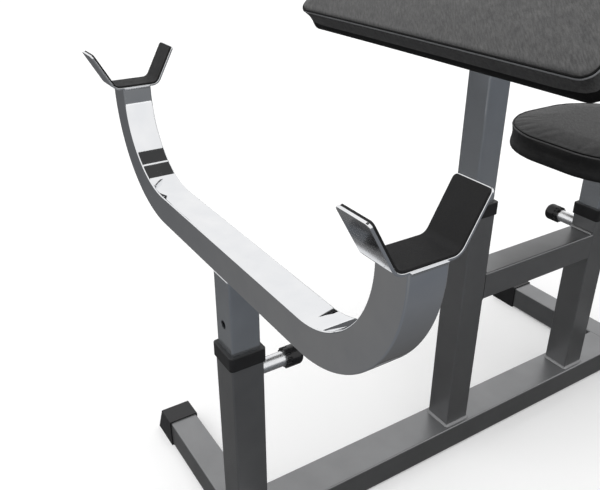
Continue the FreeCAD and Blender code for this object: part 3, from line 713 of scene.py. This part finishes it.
def make_frame_beads():
    """Beads at the posts' feet, the rail's ends and the beam's ends."""
    leg_x, leg_y, leg_z = Matrix.Identity(3) * FRAME_WELD_LEG
    beads = [post_foot_bead(post, FRAME_WELD_LEG) for post in ("pad_post", "seat_post")]
    post_low, post_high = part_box("rest_post")
    rail_low, rail_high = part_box("base_rail")
    beam_low, beam_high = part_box("seat_beam")
    for side in (-1, 1):
        x = post_high.x * side
        start = Vector((x, post_low.y + TUBE_CORNER, post_low.z))
        stop = Vector((x, post_high.y - TUBE_CORNER, post_low.z))
        beads.append(straight_bead(start, stop, leg_x * side, leg_z))
        x = rail_high.x * side
        for y, along in ((rail_low.y, 1), (rail_high.y, -1)):
            start = Vector((x, y, rail_low.z + TUBE_CORNER))
            stop = Vector((x, y, rail_high.z - TUBE_CORNER))
            beads.append(straight_bead(start, stop, leg_x * side, leg_y * along))
        z = beam_high.z if side > 0 else beam_low.z
        for y, along in ((beam_low.y, 1), (beam_high.y, -1)):
            start = Vector((beam_low.x + TUBE_CORNER, y, z))
            stop = Vector((beam_high.x - TUBE_CORNER, y, z))
            beads.append(straight_bead(start, stop, leg_y * along, leg_z * side))
    paint = MATERIALS["frame_paint"]
    make_beads("frame_weld_ripples", beads, paint, "frame", "frame_paint", "frame_weld_beads")


def make_rest_beads():
    """Beads all round the U's seat on its tube, and along both sides of each arm's top."""
    tube_low, tube_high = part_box("rest_slide_tube")
    bar_low, bar_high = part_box("rest_bar")
    half_bar = (bar_high.y - bar_low.y) / 2
    foot_run = Vector((0, (tube_high.y - tube_low.y) / 2 - TUBE_CORNER, 0))
    arm_run = Vector((0, half_bar - BAR_CORNER, 0))
    middle_y = (bar_low.y + bar_high.y) / 2
    down = Vector((0, 0, -REST_WELD_LEG))
    up = Vector((0, 0, GROOVE_WELD_UP))
    lap = Vector((0, 0, CRADLE_WELD_LAP))
    groove_run = Vector((tube_high.x - TUBE_CORNER, 0, 0))
    beads = []
    for side in (-1, 1):
        outward = Vector((REST_WELD_LEG * side, 0, 0))
        foot = Vector((tube_high.x * side, middle_y, bar_low.z))
        beads.append(straight_bead(foot - foot_run, foot + foot_run, outward, down))
        groove = Vector((0, middle_y + (half_bar - GROOVE_WELD_DEPTH) * side, bar_low.z))
        out_of_groove = Vector((0, GROOVE_WELD_OUT * side, 0))
        beads.append(straight_bead(groove - groove_run, groove + groove_run, out_of_groove, up))
        for arm in (-1, 1):
            arm_side = (bar_high.x - half_bar) * arm + half_bar * side
            top = Vector((arm_side, middle_y, bar_high.z)) + lap
            beads.append(straight_bead(top - arm_run, top + arm_run, outward, down - lap))
    plating = MATERIALS["chrome"]
    make_beads("rest_weld_ripples", beads, plating, "bar_rest", "chrome", "rest_weld_beads")


# Upholstery


def board_frame(node, angle):
    """The frame of a cushion: on the underside of its board, at the middle, tilted with it."""
    low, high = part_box(node)
    turned = Matrix.Rotation(angle, 4, "X")
    origin = (low + high) / 2 - turned @ Vector((0, 0, BOARD / 2))
    return Matrix.Translation(origin) @ turned


def read_points(mesh):
    """A mesh's points as rows of three numbers."""
    points = np.zeros(len(mesh.vertices) * 3)
    mesh.vertices.foreach_get("co", points)
    return points.reshape(-1, 3)


def write_points(mesh, points):
    """Moves a mesh's points."""
    mesh.vertices.foreach_set("co", points.ravel())
    mesh.update()


def applied(piece, kind, **settings):
    """Replaces a piece's mesh by what one modifier makes of it."""
    modifier = piece.modifiers.new(kind.lower(), kind)
    for name, value in settings.items():
        setattr(modifier, name, value)
    graph = bpy.context.evaluated_depsgraph_get()
    mesh = bpy.data.meshes.new_from_object(piece.evaluated_get(graph))
    piece.modifiers.clear()
    piece.data = mesh


def smooth_step(value, start, stop):
    """0 before start, 1 after stop, and a smooth rise between them."""
    share = np.clip((value - start) / (stop - start), 0, 1)
    return share * share * (3 - 2 * share)


def from_board(points, half, corner):
    """Each point's nearest place on a board within its rounded corners, and its way from there."""
    centre = np.clip(points[:, :2], corner - half, half - corner)
    return centre, points[:, :2] - centre


def fill_hollow(mesh, half, corner):
    """Closes the hollow under a block where its board lies."""
    made = bmesh.new()
    made.from_mesh(mesh)
    bmesh.ops.remove_doubles(made, verts=made.verts, dist=1e-5)
    made.verts.index_update()
    points = np.array([tuple(vertex.co) for vertex in made.verts])
    _, away = from_board(points, half, corner)
    within = np.linalg.norm(away, axis=1) < corner + BOARD_GAP
    within &= points[:, 2] < BOARD + BOARD_GAP
    hollow = [face for face in made.faces if all(within[vertex.index] for vertex in face.verts)]
    bmesh.ops.delete(made, geom=hollow, context="FACES")
    bmesh.ops.holes_fill(made, edges=[edge for edge in made.edges if edge.is_boundary])
    made.to_mesh(mesh)
    made.free()


def open_hollow(mesh, half, corner):
    """Lifts the underside over the board again, with the hollow's wall just clear of its edge."""
    points = read_points(mesh)
    centre, away = from_board(points, half, corner)
    gap = np.linalg.norm(away, axis=1) - corner
    over = (points[:, 2] < BOARD / 2) & (gap < BOARD_GAP)
    rim = over & (gap > -BOARD_RIM)
    stretch = (corner + BOARD_GAP) / (gap[rim] + corner)
    points[rim, :2] = centre[rim] + away[rim] * stretch[:, None]
    points[over, 2] = BOARD + BOARD_GAP
    write_points(mesh, points)


def shrink(mesh):
    """Draws the block in a little above its board, to leave room for the swelling."""
    points = read_points(mesh)
    reach = np.abs(points).max(axis=0)
    free = smooth_step(points[:, 2], HELD_HEIGHT, HELD_HEIGHT * 2)
    for axis in (0, 1):
        points[:, axis] *= 1 - free * SHRINK / reach[axis]
    points[:, 2] -= SHRINK * smooth_step(points[:, 2], SEAM_HEIGHT, reach[2])
    write_points(mesh, points)


def fill_out(mesh, half, corner, share):
    """Fills out the side band, drops its lip below the board and rolls the top over the seam."""
    points = read_points(mesh)
    beyond = np.abs(points[:, :2]) - (half - corner)
    outward = np.maximum(beyond, 0)
    reach = np.linalg.norm(outward, axis=1)
    inset = corner - reach - np.minimum(beyond.max(axis=1), 0)
    outward *= np.sign(points[:, :2]) / np.maximum(reach, 1e-9)[:, None]
    height = points[:, 2].copy()
    fullness = np.interp(height, SIDE_HEIGHTS, SIDE_FULLNESS)
    push = share * fullness * (1 - smooth_step(inset, *EDGE_REACH))
    points[:, :2] += outward * push[:, None]
    lip = 1 - smooth_step(height, 0, LIP_HEIGHT)
    points[:, 2] -= LIP_DROP * lip * (1 - smooth_step(inset, *LIP_REACH))
    inset -= push
    above = smooth_step(height, SEAM_HEIGHT - SEAM_HOLD, SEAM_HEIGHT)
    roll = smooth_step(inset, *ROLL_REACH) * (1 - smooth_step(inset, *ROLL_FADE))
    points[:, 2] += share * ROLL_LIFT * above * roll
    write_points(mesh, points)


def near_ring(ring):
    """A look-up of the nearest point of a seam."""
    lookup = KDTree(len(ring))
    for index, point in enumerate(ring):
        lookup.insert(point, index)
    lookup.balance()
    return lookup


def swell(piece, ring):
    """Blows the cover up like a filled cushion, held round its board and along its seam."""
    before = read_points(piece.data)
    lookup = near_ring(ring)
    on_seam = np.array([lookup.find(Vector(point))[2] < SEAM_HOLD for point in before])
    held = np.nonzero(on_seam | (before[:, 2] < HELD_HEIGHT))[0]
    group = piece.vertex_groups.new(name="held")
    group.add(held.tolist(), 1.0, "REPLACE")
    cloth = piece.modifiers.new("swell", "CLOTH")
    cloth.settings.use_pressure = True
    cloth.settings.uniform_pressure_force = SWELL_PRESSURE
    cloth.settings.vertex_group_mass = group.name
    cloth.settings.effector_weights.gravity = 0.0
    cloth.collision_settings.use_collision = False
    for number in range(1, SWELL_FRAMES + 1):
        bpy.context.scene.frame_set(number)
    graph = bpy.context.evaluated_depsgraph_get()
    moved = read_points(piece.evaluated_get(graph).data) - before
    piece.modifiers.remove(cloth)
    piece.vertex_groups.clear()
    bpy.context.scene.frame_set(1)
    travel = np.linalg.norm(moved, axis=1)
    limit = np.where(before[:, 2] > SEAM_HEIGHT, TOP_SWELL, SIDE_SWELL)
    moved *= np.minimum(1, limit / np.maximum(travel, 1e-9))[:, None]
    write_points(piece.data, before + moved)


def dense_outline(half_x, half_y, corner):
    """Points round a rounded rectangle, a seam's step apart along its straight sides too."""
    outline = rounded_section(half_x, half_y, corner, SEAM_CORNER_STEPS)
    dense = []
    for (x, y), (next_x, next_y) in zip(outline, outline[1:] + outline[:1]):
        gap = math.hypot(next_x - x, next_y - y)
        steps = max(1, round(gap / SEAM_STEP))
        dense += [(x + (next_x - x) * k / steps, y + (next_y - y) * k / steps) for k in range(steps)]
    return dense


def seam_ring(mesh, corner):
    """Points round the cover where its top panel is sewn to its side band."""
    points = read_points(mesh)
    half_x, half_y = np.abs(points[:, :2]).max(axis=0)
    made = bmesh.new()
    made.from_mesh(mesh)
    tree = BVHTree.FromBMesh(made)
    ring = []
    for x, y in dense_outline(half_x, half_y, corner):
        inner_x = math.copysign(max(abs(x) - corner, 0), x)
        inner_y = math.copysign(max(abs(y) - corner, 0), y)
        outward = (Vector((x, y, 0)) - Vector((inner_x, inner_y, 0))).normalized()
        start = Vector((x, y, SEAM_HEIGHT)) + outward * corner
        hit, _, _, _ = tree.ray_cast(start, -outward)
        ring.append(hit)
    made.free()
    return ring


def sew(piece, ring):
    """Sinks the seam into the cover and puckers the top panel beside it."""
    lookup = near_ring(ring)
    points = read_points(piece.data)
    normals = np.array([tuple(v.normal) for v in piece.data.vertices])
    random = np.random.default_rng(PUCKER_SEED)
    turns = random.integers(*PUCKER_TURNS, PUCKER_WAVES)
    phases = random.uniform(0, 2 * math.pi, PUCKER_WAVES)
    for index, point in enumerate(points):
        _, nearest, gap = lookup.find(Vector(point))
        if gap > PUCKER_LIMIT:
            continue
        angle = 2 * math.pi * nearest / len(ring)
        ripple = float(np.sin(turns * angle + phases).sum()) / math.sqrt(PUCKER_WAVES)
        depth = SEAM_DEPTH * math.exp(-((gap / SEAM_WIDTH) ** 2))
        depth += PUCKER_DEPTH * ripple * math.exp(-gap / PUCKER_REACH)
        points[index] -= normals[index] * depth
    write_points(piece.data, points)


def make_piping(name, ring, placement, material, body, inset=0.0, rise=0.0):
    """A sewn cord of vinyl that lies in the seam, or further in and above it, where a dark one is painted
    shade.
    """
    count = len(ring)
    turns = [2 * math.pi * k / PIPING_SIDES for k in range(PIPING_SIDES)]
    rings = []
    for index, point in enumerate(ring):
        along = (ring[(index + 1) % count] - ring[index - 1]).normalized()
        outward = along.cross(Vector((0, 0, 1))).normalized()
        upward = outward.cross(along)
        centre = point + outward * (PIPING_RADIUS / 2 - SEAM_DEPTH - inset) + upward * rise
        spokes = [outward * math.cos(t) + upward * math.sin(t) for t in turns]
        rings.append([placement @ (centre + spoke * PIPING_RADIUS) for spoke in spokes])
    add_piece(name, *join_rings(rings, closed=True), material, body, "vinyl")


def make_cushion(name, node, board, angle, corner, fullness, cover, skirt, cord, body):
    """A foam pad in a sewn vinyl cover, swollen by simulation."""
    placement = board_frame(board, angle)
    mesh = frame["nodes"][node].data.copy()
    mesh.transform(placement.inverted())
    size = np.ptp(read_points(mesh), axis=0)
    board_half = size[:2] / 2 - BOARD_INSET
    board_corner = corner - BOARD_INSET
    fill_hollow(mesh, board_half, board_corner)
    piece = bpy.data.objects.new(name, mesh)
    bpy.context.scene.collection.objects.link(piece)
    share = float(size.max()) / (CELL * 2**CELL_LEVELS)
    applied(piece, "REMESH", mode="SHARP", octree_depth=CELL_LEVELS, scale=share)
    shrink(piece.data)
    swell(piece, seam_ring(piece.data, corner))
    applied(piece, "SUBSURF", levels=1, render_levels=1)
    fill_out(piece.data, size[:2] / 2, corner, fullness)
    ring = seam_ring(piece.data, corner)
    sew(piece, ring)
    open_hollow(piece.data, board_half, board_corner)
    piece.data.materials.clear()
    piece.data.materials.append(cover)
    piece.data.materials.append(skirt)
    for face in piece.data.polygons:
        face.use_smooth = True
        # Faces below SKIRT_HEIGHT take the darker vinyl: the cover is darker along its bottom band.
        face.material_index = int(face.center.z < SKIRT_HEIGHT)
    piece.matrix_world = placement
    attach(piece, body)
    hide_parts(node)
    make_piping(f"{name}_piping", ring, placement, cord, body)
    # The upper cord is painted shade: a dark cord where the seam's groove lies in shadow.
    shade_cord_inset = SEAM_SHADE_CORD_INSET / fullness
    make_piping(f"{name}_seam_shade_cord", ring, placement, DARK_BAND_AND_SEAM_SHADE, body, shade_cord_inset, SEAM_SHADE_CORD_RISE)


# Studio


def bare_material(name):
    """A material whose node tree holds only its output."""
    material = bpy.data.materials.new(name)
    material.use_nodes = True
    tree = material.node_tree
    tree.nodes.clear()
    out = add_node(tree, "ShaderNodeOutputMaterial")
    return material, tree, out.inputs["Surface"]


def glow_material(name):
    """A surface that shows its own grey, whatever lights it."""
    material, tree, surface = bare_material(name)
    light = add_node(tree, "ShaderNodeEmission")
    tree.links.new(light.outputs["Emission"], surface)
    return material, tree, light.inputs["Color"]


def ground_card_material():
    """Painted grey ground for the chrome: lighter and bluer to the right, painted shade darkest under the
    bench.
    """
    material, tree, colour = glow_material("painted_ground_reflection_grey")
    where = add_node(tree, "ShaderNodeTexCoord").outputs["Object"]
    inputs = {0: where, 1: GROUND_ACROSS}
    across = add_node(tree, "ShaderNodeVectorMath", inputs, operation="DOT_PRODUCT").outputs["Value"]
    grey = ramp(tree, spread(tree, across, 0.0, 1.0, *GROUND_SPAN), *GROUND_GREYS)
    away = add_node(tree, "ShaderNodeVectorMath", {0: where}, operation="LENGTH").outputs["Value"]
    # Painted shadow: the grey darkens towards the middle, under the bench.
    painted_bench_shadow = spread(tree, away, *GROUND_SHADE, *GROUND_SHADE_REACH)
    shaded = blend(tree, "MULTIPLY", 1.0, grey, painted_bench_shadow)
    tree.links.new(shaded, colour)
    return material


def ceiling_panel_material():
    """Dark grey glow for the ceiling panels, seen only in the chrome: painted dark reflections."""
    material, _, colour = glow_material("painted_ceiling_reflection_grey")
    colour.default_value = (CEILING_GREY, CEILING_GREY, CEILING_GREY, 1)
    return material


def seen_ray(tree):
    """1 for rays that see the studio: from the camera, or by reflection or through glass."""
    path = add_node(tree, "ShaderNodeLightPath")
    total = path.outputs["Is Camera Ray"]
    for other in ("Is Glossy Ray", "Is Transmission Ray"):
        inputs = {0: total, 1: path.outputs[other]}
        total = add_node(tree, "ShaderNodeMath", inputs, operation="MAXIMUM").outputs[0]
    return total


def floor_material():
    """Pale floor that shows white where nothing shades it."""
    material, tree, surface = bare_material("studio_floor")
    bounced = add_node(tree, "ShaderNodeLightPath").outputs["Is Diffuse Ray"]
    grey = spread(tree, bounced, FLOOR_COLOUR, FLOOR_BOUNCE, 0.0, 1.0)
    paint = add_node(tree, "ShaderNodeBsdfDiffuse", {"Color": grey})
    inputs = {0: seen_ray(tree), 1: FLOOR_GLOW}
    strength = add_node(tree, "ShaderNodeMath", inputs, operation="MULTIPLY").outputs[0]
    glow = add_node(tree, "ShaderNodeEmission", {"Color": (1, 1, 1, 1), "Strength": strength})
    both = add_node(tree, "ShaderNodeAddShader", {0: paint.outputs[0], 1: glow.outputs[0]})
    tree.links.new(both.outputs[0], surface)
    return material


def rectangle(left, right, front, back, height):
    """Corners of a level rectangle."""
    return [(left, front, height), (right, front, height), (right, back, height), (left, back, height)]


def add_sheet(name, corners, material):
    """A flat sheet of the studio."""
    mesh = bpy.data.meshes.new(name)
    mesh.from_pydata(corners, [], [tuple(range(len(corners)))])
    mesh.materials.append(material)
    sheet = bpy.data.objects.new(name, mesh)
    bpy.context.scene.collection.objects.link(sheet)
    return sheet


def only_reflected(sheet):
    """Lets a sheet be seen in reflections alone."""
    for ray in ("camera", "diffuse", "transmission", "volume_scatter", "shadow"):
        setattr(sheet, f"visible_{ray}", False)


def make_studio():
    """The floor, and glowing sheets seen only in the chrome: painted reflections of ground and ceiling.
    """
    half = FLOOR_SIZE / 2
    add_sheet("floor", rectangle(-half, half, -half, half, 0), floor_material())
    turns = [2 * math.pi * k / GROUND_CARD_SIDES for k in range(GROUND_CARD_SIDES)]
    radius = GROUND_CARD_RADIUS
    disc = [(radius * math.cos(t), radius * math.sin(t), GROUND_CARD_LIFT) for t in turns]
    only_reflected(add_sheet("ground_card", disc, ground_card_material()))
    panel = ceiling_panel_material()
    for name, (left, right) in CEILING_PANELS.items():
        corners = rectangle(left, right, CEILING_FRONT, CEILING_BACK, CEILING)
        only_reflected(add_sheet(f"ceiling_panel_{name}", corners, panel))


def make_light():
    """Soft light from all round, and a broad lamp overhead."""
    world = bpy.data.worlds.new("studio")
    bpy.context.scene.world = world
    world.use_nodes = True
    tree = world.node_tree
    background = tree.nodes["Background"]
    background.inputs["Color"].default_value = (1, 1, 1, 1)
    inputs = {"Value": seen_ray(tree), "To Min": WORLD_LIGHT, "To Max": 1.0}
    strength = add_node(tree, "ShaderNodeMapRange", inputs)
    tree.links.new(strength.outputs["Result"], background.inputs["Strength"])

    lamp = bpy.data.lights.new("overhead", "SUN")
    lamp.energy = SUN_STRENGTH
    lamp.angle = SUN_SPREAD
    overhead = bpy.data.objects.new("overhead", lamp)
    overhead.rotation_euler = SUN_TURN
    overhead.visible_glossy = False
    bpy.context.scene.collection.objects.link(overhead)


def make_camera():
    """The camera at the photograph's place."""
    data = bpy.data.cameras.new("photo_camera")
    data.sensor_fit = "HORIZONTAL"
    data.sensor_width = CAMERA_SENSOR
    data.lens = CAMERA_LENS
    camera = bpy.data.objects.new("photo_camera", data)
    camera.location = CAMERA_PLACE
    camera.rotation_euler = (math.pi / 2 - CAMERA_ELEVATION, 0, CAMERA_AZIMUTH)
    bpy.context.scene.collection.objects.link(camera)
    bpy.context.scene.camera = camera
    bpy.context.scene.view_settings.view_transform = "Standard"


make_camera()
make_studio()
make_light()
dress_nodes()
make_rest_bar()
make_cradles()
make_frame_beads()
make_rest_beads()
make_cushion(
    "arm_pad", "pad_cushion", "pad_board", PAD_ANGLE, PAD_CORNER, PAD_FULLNESS,
    MATERIALS["vinyl"], DARK_BAND_AND_SEAM_SHADE, PAD_PIPING, "arm_pad",
)
make_cushion(
    "seat_pad", "seat_cushion", "seat_board", 0.0, SEAT_CORNER, SEAT_FULLNESS,
    SEAT_VINYL, SEAT_VINYL, SEAT_PIPING, "seat",
)
